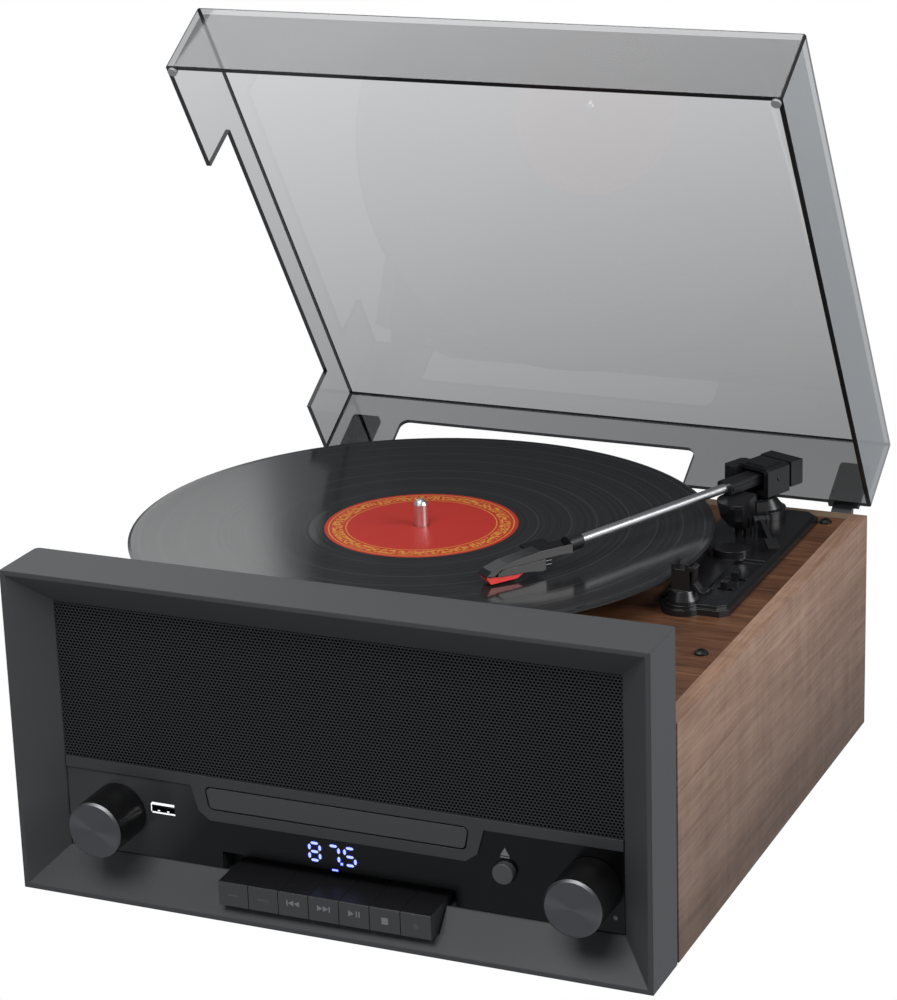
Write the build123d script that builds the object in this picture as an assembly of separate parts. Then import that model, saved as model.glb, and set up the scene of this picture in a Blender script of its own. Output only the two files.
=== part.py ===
"""Compact music centre: veneered cabinet, bevelled front frame, disc tray, keys, record deck
with tonearm and a smoked lid. Millimetres, +X right seen from the front, +Y to the rear, +Z up.
Built from the middle of the front face, then moved so that the origin is on the floor under the
middle of the part's extents."""
import math
import os

from build123d import *

os.makedirs("parts", exist_ok=True)

# Body
BODY_W = 325.0
BODY_D = 334.0
FOOT_H = 4.0
FOOT_R = 9.0
CAB_H = 118.0
PANEL_T = 9.0
TOP_Z = FOOT_H + CAB_H
DECK_Z = TOP_Z - PANEL_T
FLOOR_Z = FOOT_H + PANEL_T
IN_X = BODY_W / 2 - PANEL_T

# Front frame with bevelled opening
FRAME_H = 164.0
FRAME_D = 34.0
FRAME_TOP = FOOT_H + FRAME_H
LIP = 2.3
BEVEL_D = 16.0
OPEN_X = BODY_W / 2 - 19.0
OPEN_Z0 = FOOT_H + 19.3
OPEN_Z1 = FOOT_H + 145.2
POCKET_M = 4.0
POCKET_Y = 31.0

# Inner panel, grille and inlay
PANEL_Y = BEVEL_D + 1.0
PANEL_BACK = PANEL_Y + 3.0
RAISE_Y = BEVEL_D - 0.8
STRIP_Z0 = FOOT_H + 60.6
STRIP_Z1 = FOOT_H + 66.2
SURR_TOP_X = 75.5
SURR_MID_X = 72.0
SURR_BOT_X = 66.0
SURR_BOT_Z = FOOT_H + 43.6
FIT = 0.15

# Disc tray
DOOR_TOP_X = 67.6
DOOR_BOT_X = 65.6
DOOR_Z0 = FOOT_H + 49.9
DOOR_Z1 = FOOT_H + 60.4
DOOR_GAP = 0.75
DOOR_T = 3.0
TRAY_X = 62.5
TRAY_Y1 = 178.0
TRAY_Z0 = DOOR_Z0 + 0.8
TRAY_H = 8.0
TRAY_TRAVEL = 130.0
DISC_R = 60.5
DISC_Y = 84.0
TRAY_PLAY = 0.4

# Knobs
KNOB_R = 14.15
KNOB_Y0 = -10.0
KNOB_Y1 = BEVEL_D - 0.6
KNOB_Z = FOOT_H + 41.3
TUNE_X = -115.3
VOL_X = 128.0
SHAFT_R = 3.0
RUN = 0.05

# Keys
KEY_N = 7
KEY_PITCH = 15.7
KEY_GAP = 0.4
KEY_Y0 = -1.0
KEY_Y1 = 24.5
KEY_Z0 = FOOT_H + 9.2
KEY_ZF = FOOT_H + 21.2
KEY_ZR = FOOT_H + 22.4
KEY_MID = 0.2
KEY_TRAVEL = 2.0
KEY_NAMES = ["power", "source", "previous", "next", "play", "stop", "record"]
WELL_X = 60.5
WELL_Z = FOOT_H + 28.0
WELL_Y = 27.0
WALL = 1.5

# Small controls
EJECT_X = 85.4
EJECT_Z = FOOT_H + 41.4
EJECT_R = 5.2
EJECT_Y0 = 12.2
USB_X = -91.9
USB_Z = FOOT_H + 45.3
USB_W = 13.1
USB_H = 5.7
LED_X = -2.2
LED_Z0 = FOOT_H + 29.8
LED_Z1 = FOOT_H + 41.4
LED_W = 34.0
BOARD_Y = 34.6

# Loudspeakers
SPK_X = 92.0
SPK_Z = 98.0
SPK_R = 28.5

# Record, platter and drive
REC_X = -36.5
REC_Y = BODY_D - 131.3
REC_R = 150.8
REC_T = 1.6
REC_TOP = TOP_Z + 16.0
LABEL_R = 50.0
PIN_R = 3.55
PIN_H = 14.0
MAT_T = 2.4
MAT_R = 108.0
PLAT_R = 110.0
PLAT_TOP = REC_TOP - REC_T - MAT_T
PLAT_Z0 = TOP_Z + 3.6
RING_R = 64.0
SPIN_R = 3.0
PULLEY_R = 6.4
PULLEY_X = REC_X - 62.0
PULLEY_Y = REC_Y - 62.0
BELT_T = 0.8

# Tonearm
PIV_X = 115.5
PIV_Y = BODY_D - 31.0
ARM_Z = TOP_Z + 27.8
ARM_HEAD = 67.1
ARM_OFF = 15.0
TUBE_R = 2.5
TUBE_S = 143.0
COLLAR_R = 4.1
SHELL_S = 147.0
SLEEVE_HW = 5.0
SLEEVE_HH = 3.2
SLEEVE_S = 31.0
PIVOT_PIN_R = 1.5
PLATE_T = 5.0
PLATE_Z = TOP_Z + PLATE_T
REST_X = PIV_X + 1.8
REST_Y = PIV_Y - 133.0
LIFT_X = PIV_X - 1.9
LIFT_Y = PIV_Y - 33.5
LIFT_R = 12.0
LIFT_FLAT = PIV_X + 3.1
LEV_ANG = 33.4

# Lid and hinges, drawn closed and turned open about the hinge pin
LID_HW = BODY_W / 2 - 1.0
LID_H = 44.0
LID_T = 2.6
LID_REAR = BODY_D - 0.4
LID_L = LID_REAR - FRAME_D - 2.6
LID_Z = TOP_Z + 1.7
LID_OPEN = 57.5
HINGE_Y = BODY_D + 4.9
HINGE_Z = TOP_Z - 9.9
HINGE_X = BODY_W / 2 - 17.0
KNUCKLE_R = 4.4
HINGE_PIN_R = 1.5
LEAF_HW = 8.4
NOTCH_U0 = 38.0
NOTCH_U1 = 227.0
NOTCH_V = 27.0
CUT_X0 = -122.0
CUT_X1 = 55.5
CUT_V = 26.0


def box(x0, x1, y0, y1, z0, z1):
    size = Box(x1 - x0, y1 - y0, z1 - z0)
    return Pos((x0 + x1) / 2, (y0 + y1) / 2, (z0 + z1) / 2) * size


def cyl_z(x, y, r, z0, z1):
    return Pos(x, y, (z0 + z1) / 2) * Cylinder(r, z1 - z0)


def cyl_y(x, z, r, y0, y1):
    return Pos(x, (y0 + y1) / 2, z) * Rot(90, 0, 0) * Cylinder(r, y1 - y0)


def cyl_x(y, z, r, x0, x1):
    return Pos((x0 + x1) / 2, y, z) * Rot(0, 90, 0) * Cylinder(r, x1 - x0)


def prism_y(pts, y0, y1):
    """A polygon given as x, z pairs, run from y0 to y1."""
    face = make_face(Polyline(*[(x, y0, z) for x, z in pts], close=True))
    return extrude(face, amount=y1 - y0, dir=(0, 1, 0))


def prism_z(pts, z0, z1):
    """A polygon given as x, y pairs, run from z0 to z1."""
    face = make_face(Polyline(*[(x, y, z0) for x, y in pts], close=True))
    return extrude(face, amount=z1 - z0, dir=(0, 0, 1))


def prism_x(pts, x0, x1):
    """A polygon given as y, z pairs, run from x0 to x1."""
    face = make_face(Polyline(*[(x0, y, z) for y, z in pts], close=True))
    return extrude(face, amount=x1 - x0, dir=(1, 0, 0))


def turned(x, y, pts):
    """A profile of r, z pairs turned about the vertical line through x, y."""
    face = make_face(Polyline(*[(r, 0, z) for r, z in pts], close=True))
    return Pos(x, y, 0) * revolve(face, Axis.Z, 360)


def turned_y(x, z, pts):
    """A profile of r, y pairs turned about the line along Y through x, z."""
    face = make_face(Polyline(*[(r, y, 0) for r, y in pts], close=True))
    return Pos(x, 0, z) * revolve(face, Axis.Y, 360)


def save(name, shape):
    parts[name] = shape


parts = {}

# Cabinet panels
HW = BODY_W / 2
for side, sign in (("left", -1), ("right", 1)):
    x0 = sign * HW
    x1 = sign * IN_X
    save("side_panel_" + side, box(min(x0, x1), max(x0, x1), FRAME_D, BODY_D, FOOT_H, TOP_Z))

foot_xy = [(sx * (IN_X - 18.5), y) for sx in (-1, 1) for y in (FRAME_D + 28.0, BODY_D - 30.0)]
bottom = box(-IN_X, IN_X, FRAME_D, BODY_D, FOOT_H, FLOOR_Z)
save("bottom_panel", bottom)
foot_profile = [(0, 0), (FOOT_R - 1, 0), (FOOT_R, 1), (FOOT_R, FOOT_H), (0, FOOT_H)]
feet = [turned(x, y, foot_profile) for x, y in foot_xy]
save("feet", Compound(feet))

# Top deck, let in between the side panels
BUSH_R = 7.0
MOTOR_HOLE_R = 4.0
deck = box(-IN_X, IN_X, FRAME_D, BODY_D - PANEL_T, DECK_Z, TOP_Z)
deck -= cyl_z(REC_X, REC_Y, BUSH_R + FIT, DECK_Z - 1, TOP_Z + 1)
deck -= cyl_z(PULLEY_X, PULLEY_Y, MOTOR_HOLE_R, DECK_Z - 1, TOP_Z + 1)
deck -= cyl_z(PIV_X, PIV_Y, 6.0, DECK_Z - 1, TOP_Z + 1)
SCREW_X = IN_X - 8.5
SCREW_Y = BODY_D - 18.0
SCREW_XY = [(SCREW_X, 117.0), (SCREW_X, SCREW_Y), (-SCREW_X, 60.0), (-SCREW_X, SCREW_Y)]
SCREW_R = 1.6
for x, y in SCREW_XY:
    deck -= cyl_z(x, y, SCREW_R, DECK_Z - 1, TOP_Z + 1)
STEM_R = 3.0
deck -= cyl_z(LIFT_X, LIFT_Y, STEM_R + 1.5, DECK_Z - 1, TOP_Z + 1)
save("top_deck", deck)

screws = []
for x, y in SCREW_XY:
    head_profile = [(0, 0), (3.4, 0), (3.4, 0.9), (2.2, 1.9), (0, 2.0)]
    head = Pos(0, 0, TOP_Z) * turned(x, y, head_profile)
    shank = cyl_z(x, y, SCREW_R, TOP_Z - 7.5, TOP_Z)
    slot = box(x - 1.8, x + 1.8, y - 0.4, y + 0.4, TOP_Z + 1.1, TOP_Z + 3)
    slot += box(x - 0.4, x + 0.4, y - 1.8, y + 1.8, TOP_Z + 1.1, TOP_Z + 3)
    screws.append(head + shank - slot)
save("deck_screws", Compound(screws))

# Rear panel and its socket plate
SOCK_X0 = -110.0
SOCK_X1 = -30.0
SOCK_Z0 = 30.0
SOCK_Z1 = 62.0
rear = box(-IN_X, IN_X, BODY_D - PANEL_T, BODY_D, FLOOR_Z, TOP_Z)
rear -= box(SOCK_X0, SOCK_X1, BODY_D - PANEL_T - 1, BODY_D + 1, SOCK_Z0, SOCK_Z1)
BRACKET_T = 2.4
BRACKET_HW = 8.5
HSCREW_R = 1.5
HSCREW_Z = (TOP_Z - 21.0, TOP_Z - 31.0)
for sx in (-1, 1):
    for z in HSCREW_Z:
        rear -= cyl_y(sx * HINGE_X, z, HSCREW_R, BODY_D - 6.5, BODY_D + 1)
save("rear_panel", rear)

plate_y = BODY_D - PANEL_T + 4
sock = box(SOCK_X0 + FIT, SOCK_X1 - FIT, plate_y, plate_y + 2, SOCK_Z0 + FIT, SOCK_Z1 - FIT)
inlet = box(-104, -84, plate_y - 14, plate_y, 40, 52)
sock += inlet
inlet_hole = box(-99, -89, plate_y - 12, plate_y + 3, 42.2, 49.8)
inlet_hole += cyl_y(-99, 46, 3.8, plate_y - 12, plate_y + 3)
inlet_hole += cyl_y(-89, 46, 3.8, plate_y - 12, plate_y + 3)
sock -= inlet_hole
for x in (-98.0, -90.0):
    sock += cyl_y(x, 46, 1.1, plate_y - 13, plate_y + 0.5)
for x in (-66.0, -52.0):
    sock += cyl_y(x, 46, 4.1, plate_y - 6, plate_y + 8.5)
    sock -= cyl_y(x, 46, 2.9, plate_y - 4, plate_y + 9)
    sock += cyl_y(x, 46, 1.5, plate_y - 5, plate_y + 6)
    sock -= cyl_y(x, 46, 0.9, plate_y - 2, plate_y + 7)
sock += cyl_y(-38, 46, 4.0, plate_y - 12, plate_y + 2.6)
sock -= cyl_y(-38, 46, 1.8, plate_y - 11, plate_y + 4)
save("rear_sockets", sock)

# Front frame
outer = box(-HW, HW, 0, FRAME_D, FOOT_H, FRAME_TOP)
rear_edges = outer.edges().filter_by(Axis.Z).group_by(Axis.Y)[-1]
outer = fillet(rear_edges, 2.5)


def rect_at(y, hx, z0, z1):
    return make_face(Polyline((-hx, y, z0), (hx, y, z0), (hx, y, z1), (-hx, y, z1), close=True))


grow = (HW - LIP - OPEN_X) / BEVEL_D
over = 0.5
spread = grow * over
front_rect = rect_at(-over, HW - LIP + spread, FOOT_H + LIP - spread, FRAME_TOP - LIP + spread)
back_rect = rect_at(BEVEL_D, OPEN_X, OPEN_Z0, OPEN_Z1)
frame = outer - loft([front_rect, back_rect])
pz0 = OPEN_Z0 - POCKET_M
pz1 = OPEN_Z1 + POCKET_M
px = OPEN_X + POCKET_M
frame -= box(-px, px, BEVEL_D, POCKET_Y, pz0, pz1)
frame -= box(-px, px, POCKET_Y - 1, FRAME_D + 1, pz0, DECK_Z)
KEY_X0 = KEY_MID - KEY_N * KEY_PITCH / 2
KEY_X1 = KEY_MID + KEY_N * KEY_PITCH / 2
frame -= box(KEY_X0 - 0.5, KEY_X1 + 0.5, -1, FRAME_D + 1, KEY_Z0 - 0.6, OPEN_Z0 + 6)
save("front_frame", frame)

# Perforated grille behind the upper opening
GRILLE_T = 1.0
save("speaker_grille", box(-px + FIT, px - FIT, BEVEL_D, BEVEL_D + GRILLE_T, STRIP_Z1, pz1 - FIT))

# Inner panel moulding
panel = box(-px + FIT, px - FIT, PANEL_Y, PANEL_BACK, pz0 + FIT, pz1 - FIT)
strip = box(-OPEN_X + FIT, OPEN_X - FIT, RAISE_Y, PANEL_Y, STRIP_Z0, STRIP_Z1)
surround = prism_y(
    [
        (-SURR_TOP_X, STRIP_Z0 + 1),
        (-SURR_TOP_X, STRIP_Z0),
        (-SURR_MID_X, SURR_BOT_Z + 4.5),
        (-SURR_BOT_X, SURR_BOT_Z),
        (SURR_BOT_X, SURR_BOT_Z),
        (SURR_MID_X, SURR_BOT_Z + 4.5),
        (SURR_TOP_X, STRIP_Z0),
        (SURR_TOP_X, STRIP_Z0 + 1),
    ],
    RAISE_Y,
    PANEL_Y,
)
raised = strip + surround
panel += raised


def door_shape(gap, y0, y1):
    pts = [
        (-DOOR_BOT_X - gap, DOOR_Z0 - gap),
        (DOOR_BOT_X + gap, DOOR_Z0 - gap),
        (DOOR_TOP_X + gap, DOOR_Z1 + gap),
        (-DOOR_TOP_X - gap, DOOR_Z1 + gap),
    ]
    body = prism_y(pts, y0, y1)
    return fillet(body.edges().filter_by(Axis.Y), 2.2 + gap)


panel -= door_shape(DOOR_GAP, RAISE_Y - 1, PANEL_BACK + 1)
for sx in (-1, 1):
    panel -= cyl_y(sx * SPK_X, SPK_Z, SPK_R - 3.5, PANEL_Y - 1, PANEL_BACK + 1)
panel -= cyl_y(TUNE_X, KNOB_Z, SHAFT_R + 1.0, PANEL_Y - 1, PANEL_BACK + 1)
panel -= cyl_y(VOL_X, KNOB_Z, SHAFT_R + 1.0, PANEL_Y - 1, PANEL_BACK + 1)
panel -= cyl_y(EJECT_X, EJECT_Z, EJECT_R + 0.3, PANEL_Y - 1, PANEL_BACK + 1)
usb_box = (USB_X - USB_W / 2, USB_X + USB_W / 2, USB_Z - USB_H / 2, USB_Z + USB_H / 2)
usb_x0, usb_x1, usb_z0, usb_z1 = usb_box
panel -= box(usb_x0 - FIT, usb_x1 + FIT, PANEL_Y - 1, PANEL_BACK + 1, usb_z0 - FIT, usb_z1 + FIT)
led_x0 = LED_X - LED_W / 2
led_x1 = LED_X + LED_W / 2
panel -= box(led_x0 - FIT, led_x1 + FIT, PANEL_Y - 1, PANEL_BACK + 1, LED_Z0 - FIT, LED_Z1 + FIT)
# Key well: a shallow box behind the panel that the keys come out of
well_out = box(-WELL_X - WALL, WELL_X + WALL, PANEL_Y, WELL_Y + WALL, pz0 + FIT, WELL_Z + WALL)
well_in = box(-WELL_X, WELL_X, PANEL_Y - 1, WELL_Y, pz0 - 5, WELL_Z)
well_in -= box(-WELL_X - 1, KEY_X0 - 0.5, PANEL_Y - 2, WELL_Y + 1, pz0 - 6, pz0 + 2)
well_in -= box(KEY_X1 + 0.5, WELL_X + 1, PANEL_Y - 2, WELL_Y + 1, pz0 - 6, pz0 + 2)
panel = panel + well_out - well_in
STEM_W = 5.0
STEM_Z0 = KEY_Z0 + 7.2
STEM_Z1 = KEY_Z0 + 11.2
STEM_GAP = 0.3
key_centres = [KEY_X0 + KEY_PITCH * (i + 0.5) for i in range(KEY_N)]
for xc in key_centres:
    hole = box(
        xc - STEM_W / 2 - STEM_GAP,
        xc + STEM_W / 2 + STEM_GAP,
        WELL_Y - 1,
        WELL_Y + WALL + 1,
        STEM_Z0 - STEM_GAP,
        STEM_Z1 + STEM_GAP,
    )
    panel -= hole
save("control_panel", panel)

# Gloss inlay in front of the lower panel
inlay = box(-OPEN_X + FIT, OPEN_X - FIT, BEVEL_D, PANEL_Y, OPEN_Z0 + FIT, STRIP_Z0)
inlay -= raised
inlay -= box(-WELL_X, WELL_X, BEVEL_D - 1, PANEL_Y + 1, OPEN_Z0 - 1, WELL_Z)
inlay -= cyl_y(TUNE_X, KNOB_Z, SHAFT_R + 1.0, BEVEL_D - 1, PANEL_Y + 1)
inlay -= cyl_y(VOL_X, KNOB_Z, SHAFT_R + 1.0, BEVEL_D - 1, PANEL_Y + 1)
inlay -= cyl_y(EJECT_X, EJECT_Z, EJECT_R + 0.3, BEVEL_D - 1, PANEL_Y + 1)
inlay -= box(usb_x0 - FIT, usb_x1 + FIT, BEVEL_D - 1, PANEL_Y + 1, usb_z0 - FIT, usb_z1 + FIT)
save("gloss_inlay", inlay)

# Disc tray and its door
DOOR_Y0 = RAISE_Y + 0.1
tray_y0 = DOOR_Y0 + DOOR_T
save("cd_tray_front", door_shape(0, DOOR_Y0, tray_y0))
tray = box(-TRAY_X, TRAY_X, tray_y0, TRAY_Y1, TRAY_Z0, TRAY_Z0 + TRAY_H)
tray -= cyl_z(0, DISC_Y, DISC_R, TRAY_Z0 + TRAY_H - 3.5, TRAY_Z0 + TRAY_H + 1)
tray -= cyl_z(0, DISC_Y, 40.5, TRAY_Z0 + TRAY_H - 5.0, TRAY_Z0 + TRAY_H + 1)
tray -= cyl_z(0, DISC_Y, 19.0, TRAY_Z0 - 1, TRAY_Z0 + TRAY_H)
tray -= box(-19, 19, DISC_Y, DISC_Y + 50, TRAY_Z0 - 1, TRAY_Z0 + TRAY_H)
save("cd_tray", tray)

# Disc drive: housing round the tray, with the spindle motor below
DRIVE_X = 74.0
DRIVE_Y0 = 26.0
DRIVE_Y1 = 184.0
DRIVE_Z0 = TRAY_Z0 - 9.0
DRIVE_Z1 = TRAY_Z0 + TRAY_H + 6.0
drive = box(-DRIVE_X, DRIVE_X, DRIVE_Y0, DRIVE_Y1, DRIVE_Z0, DRIVE_Z1)
drive -= box(
    -TRAY_X - TRAY_PLAY,
    TRAY_X + TRAY_PLAY,
    DRIVE_Y0 - 1,
    DRIVE_Y1 - 3,
    TRAY_Z0 - TRAY_PLAY,
    TRAY_Z0 + TRAY_H + 2.5,
)
drive -= box(-50, 50, DRIVE_Y0 + 12, DRIVE_Y1 - 14, DRIVE_Z0 + 2, TRAY_Z0)
drive -= box(-66, -54, DRIVE_Y0 + 12, DRIVE_Y1 - 14, DRIVE_Z0 + 2, TRAY_Z0 - 1.5)
drive -= box(54, 66, DRIVE_Y0 + 12, DRIVE_Y1 - 14, DRIVE_Z0 + 2, TRAY_Z0 - 1.5)
HUB_R = 14.5
HUB_SHAFT_R = 1.0
drive += cyl_z(0, DISC_Y, 12.0, DRIVE_Z0 - 8, DRIVE_Z0 + 0.5)
drive -= cyl_z(0, DISC_Y, HUB_SHAFT_R + RUN, DRIVE_Z0 - 6, DRIVE_Z0 + 4)
for sx in (-1, 1):
    for y in (DRIVE_Y0 + 17, DRIVE_Y1 - 8):
        drive += cyl_z(sx * (DRIVE_X - 5), y, 4.0, FLOOR_Z, DRIVE_Z0 + 0.5)
save("cd_drive", drive)
hub = cyl_z(0, DISC_Y, HUB_R, DRIVE_Z0 + 3.0, DRIVE_Z0 + 5.5)
hub += Pos(0, 0, DRIVE_Z0) * turned(0, DISC_Y, [(0, 5), (7.3, 5), (6.6, 8), (0, 8)])
hub += cyl_z(0, DISC_Y, HUB_SHAFT_R, DRIVE_Z0 - 5.5, DRIVE_Z0 + 3.5)
save("cd_hub", hub)

# Knobs with their shafts
SHAFT_END = BOARD_Y - 1.6
for name, xk in (("knob_tuning", TUNE_X), ("knob_volume", VOL_X)):
    knob = turned_y(
        xk,
        KNOB_Z,
        [
            (0, KNOB_Y0),
            (KNOB_R - 1.1, KNOB_Y0),
            (KNOB_R, KNOB_Y0 + 1.1),
            (KNOB_R, KNOB_Y1),
            (KNOB_R - 2, KNOB_Y1),
            (KNOB_R - 2, KNOB_Y1 - 12),
            (SHAFT_R + 2, KNOB_Y1 - 12),
            (SHAFT_R + 2, KNOB_Y1 - 1),
            (SHAFT_R, KNOB_Y1 - 1),
            (SHAFT_R, SHAFT_END),
            (0, SHAFT_END),
        ],
    )
    save(name, knob)

# Piano keys
for name, xc in zip(KEY_NAMES, key_centres):
    hw = (KEY_PITCH - KEY_GAP) / 2
    key = prism_x(
        [(KEY_Y0, KEY_Z0), (KEY_Y1, KEY_Z0), (KEY_Y1, KEY_ZR), (KEY_Y0 + 0.4, KEY_ZF), (KEY_Y0, KEY_ZF - 0.4)],
        xc - hw,
        xc + hw,
    )
    key += box(xc - STEM_W / 2, xc + STEM_W / 2, KEY_Y1 - 1, WELL_Y + 4.5, STEM_Z0, STEM_Z1)
    save("key_" + name, key)

# Eject button with its retaining flange and stem
eject = cyl_y(EJECT_X, EJECT_Z, EJECT_R, EJECT_Y0, PANEL_BACK + 0.6)
eject = fillet(eject.edges().group_by(Axis.Y)[0], 0.6)
eject += cyl_y(EJECT_X, EJECT_Z, EJECT_R + 1.2, PANEL_BACK + 0.3, PANEL_BACK + 1.6)
eject += cyl_y(EJECT_X, EJECT_Z, 1.6, PANEL_BACK + 1, BOARD_Y - 3.4)
save("eject_button", eject)

# USB socket, LED display and control board
usb = box(usb_box[0], usb_box[1], BEVEL_D + 0.3, BOARD_Y, usb_box[2], usb_box[3])
usb -= box(usb_x0 + 0.35, usb_x1 - 0.35, BEVEL_D, BEVEL_D + 9.5, usb_z0 + 0.35, usb_z1 - 0.35)
usb += box(USB_X - 5.6, USB_X + 5.6, BEVEL_D + 1.2, BEVEL_D + 10.5, USB_Z + 0.2, USB_Z + 2.0)
save("usb_socket", usb)
save("led_display", box(led_x0, led_x1, PANEL_Y + 0.1, BOARD_Y, LED_Z0, LED_Z1))

board_x0 = -IN_X + 15.5
board_x1 = IN_X - 7.5
board = box(board_x0, board_x1, BOARD_Y, BOARD_Y + 1.6, FLOOR_Z + 0.8, DRIVE_Z0 - 0.8)
board -= box(-14, 14, BOARD_Y - 1, BOARD_Y + 3, DRIVE_Z0 - 12, DRIVE_Z0)
for x0, x1 in ((board_x0, -DRIVE_X - 1), (DRIVE_X + 1, board_x1)):
    board += box(x0, x1, BOARD_Y, BOARD_Y + 1.6, FLOOR_Z + 0.8, FOOT_H + 56)
for xk in (TUNE_X, VOL_X):
    can = box(xk - 6.5, xk + 6.5, BOARD_Y - 7.5, BOARD_Y + 0.2, KNOB_Z - 6.5, KNOB_Z + 6.5)
    can -= cyl_y(xk, KNOB_Z, SHAFT_R + RUN, BOARD_Y - 9, BOARD_Y - 1)
    board += can
for xc in key_centres:
    board += box(xc - 3, xc + 3, BOARD_Y - 0.9, BOARD_Y + 0.2, STEM_Z0 - 1, STEM_Z1 + 1)
board += box(EJECT_X - 3, EJECT_X + 3, BOARD_Y - 1.3, BOARD_Y + 0.2, EJECT_Z - 3, EJECT_Z + 3)
save("control_board", board)

# Loudspeakers
for side, sx in (("left", -1), ("right", 1)):
    y = PANEL_BACK
    speaker = turned_y(
        sx * SPK_X,
        SPK_Z,
        [
            (0, y + 5.5),
            (7.5, y + 7.5),
            (21.0, y + 2.2),
            (23.5, y + 0.8),
            (24.0, y),
            (SPK_R, y),
            (SPK_R, y + 2),
            (25.0, y + 2),
            (14.0, y + 11.0),
            (14.0, y + 24.0),
            (0, y + 24.0),
        ],
    )
    save("speaker_" + side, speaker)

# Main board on four pillars
MAIN_W = 130.0
MAIN_D = 100.0
mx = IN_X - 13.5 - MAIN_W
my = BODY_D - PANEL_T - 10.0 - MAIN_D
main = box(mx, mx + MAIN_W, my, my + MAIN_D, FLOOR_Z + 6, FLOOR_Z + 7.6)
for x in (mx + 5, mx + MAIN_W - 5):
    for y in (my + 5, my + MAIN_D - 5):
        main += cyl_z(x, y, 3.0, FLOOR_Z, FLOOR_Z + 6.2)
main += box(mx + 75, mx + 120, my + 35, my + 85, FLOOR_Z + 7, FLOOR_Z + 42)
main += box(mx + 10, mx + 50, my + 10, my + 30, FLOOR_Z + 7, FLOOR_Z + 26)
for x, y in ((18, 50), (34, 50), (18, 70), (50, 75)):
    main += cyl_z(mx + x, my + y, 5.0, FLOOR_Z + 7, FLOOR_Z + 22)
save("main_board", main)

# Platter, mat, record, spindle and bearing
plat = turned(
    REC_X,
    REC_Y,
    [
        (PIN_R + 0.02, PLAT_TOP),
        (PLAT_R - 1, PLAT_TOP),
        (PLAT_R, PLAT_TOP - 1),
        (PLAT_R, PLAT_Z0),
        (PLAT_R - 4, PLAT_Z0),
        (PLAT_R - 4, PLAT_TOP - 2.5),
        (RING_R, PLAT_TOP - 2.5),
        (RING_R, PLAT_Z0),
        (RING_R - 3, PLAT_Z0),
        (RING_R - 3, PLAT_TOP - 2.5),
        (12, PLAT_TOP - 2.5),
        (12, PLAT_Z0),
        (PIN_R + 0.02, PLAT_Z0),
    ],
)
save("platter", plat)
mat = cyl_z(REC_X, REC_Y, MAT_R, PLAT_TOP, PLAT_TOP + MAT_T)
mat -= cyl_z(REC_X, REC_Y, PIN_R + FIT, PLAT_TOP - 1, REC_TOP)
save("platter_mat", mat)
REC_Z0 = REC_TOP - REC_T
record = turned(
    REC_X,
    REC_Y,
    [
        (PIN_R + 0.07, REC_Z0),
        (REC_R - 1.5, REC_Z0),
        (REC_R, REC_Z0 + 0.5),
        (REC_R, REC_TOP - 0.5),
        (REC_R - 1.5, REC_TOP),
        (REC_R - 4, REC_TOP - 0.15),
        (LABEL_R + 8, REC_TOP - 0.15),
        (LABEL_R + 0.5, REC_TOP),
        (PIN_R + 0.07, REC_TOP),
    ],
)
save("record", record)
SPIN_Z0 = TOP_Z - 30
spin = turned(
    REC_X,
    REC_Y,
    [
        (0, SPIN_Z0),
        (SPIN_R, SPIN_Z0),
        (SPIN_R, PLAT_Z0 - 0.6),
        (PIN_R, PLAT_Z0),
        (PIN_R, REC_TOP + PIN_H - 2.6),
        (PIN_R - 0.5, REC_TOP + PIN_H - 1.3),
        (PIN_R - 1.5, REC_TOP + PIN_H - 0.35),
        (PIN_R - 2.6, REC_TOP + PIN_H),
        (0, REC_TOP + PIN_H),
    ],
)
save("spindle", spin)
bush = turned(
    REC_X,
    REC_Y,
    [
        (0, SPIN_Z0 - 2.5),
        (BUSH_R, SPIN_Z0 - 2.5),
        (BUSH_R, TOP_Z),
        (16, TOP_Z),
        (16, TOP_Z + 2.0),
        (SPIN_R + 0.04, TOP_Z + 2.0),
        (SPIN_R + 0.04, SPIN_Z0 - 0.05),
        (0, SPIN_Z0 - 0.05),
    ],
)
save("bearing_bush", bush)

# Motor below the deck, pulley and belt under the platter
motor = cyl_z(PULLEY_X, PULLEY_Y, 17.5, DECK_Z - 24, DECK_Z)
motor -= cyl_z(PULLEY_X, PULLEY_Y, 1.0 + RUN, DECK_Z - 18, DECK_Z + 1)
save("drive_motor", motor)
pul = cyl_z(PULLEY_X, PULLEY_Y, PULLEY_R, PLAT_Z0 - 0.6, PLAT_TOP - 3.4)
pul += cyl_z(PULLEY_X, PULLEY_Y, PULLEY_R + 1.0, PLAT_Z0 - 1.4, PLAT_Z0 - 0.5)
pul += cyl_z(PULLEY_X, PULLEY_Y, 1.0, DECK_Z - 17.5, PLAT_Z0)
save("motor_pulley", pul)


def belt_loop(extra, z0, z1):
    """The outline round the ring and the pulley, held off both by extra."""
    r1 = RING_R + extra
    r2 = PULLEY_R + extra
    dx = PULLEY_X - REC_X
    dy = PULLEY_Y - REC_Y
    dist = math.hypot(dx, dy)
    base = math.atan2(dy, dx)
    tilt = math.acos((r1 - r2) / dist)
    quad = []
    big = (r1, REC_X, REC_Y)
    small = (r2, PULLEY_X, PULLEY_Y)
    for (r, cx, cy), sign in ((big, 1), (small, 1), (small, -1), (big, -1)):
        ang = base + sign * tilt
        quad.append((cx + r * math.cos(ang), cy + r * math.sin(ang)))
    loop = cyl_z(REC_X, REC_Y, r1, z0, z1) + cyl_z(PULLEY_X, PULLEY_Y, r2, z0, z1)
    return loop + prism_z(quad, z0, z1)


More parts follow.
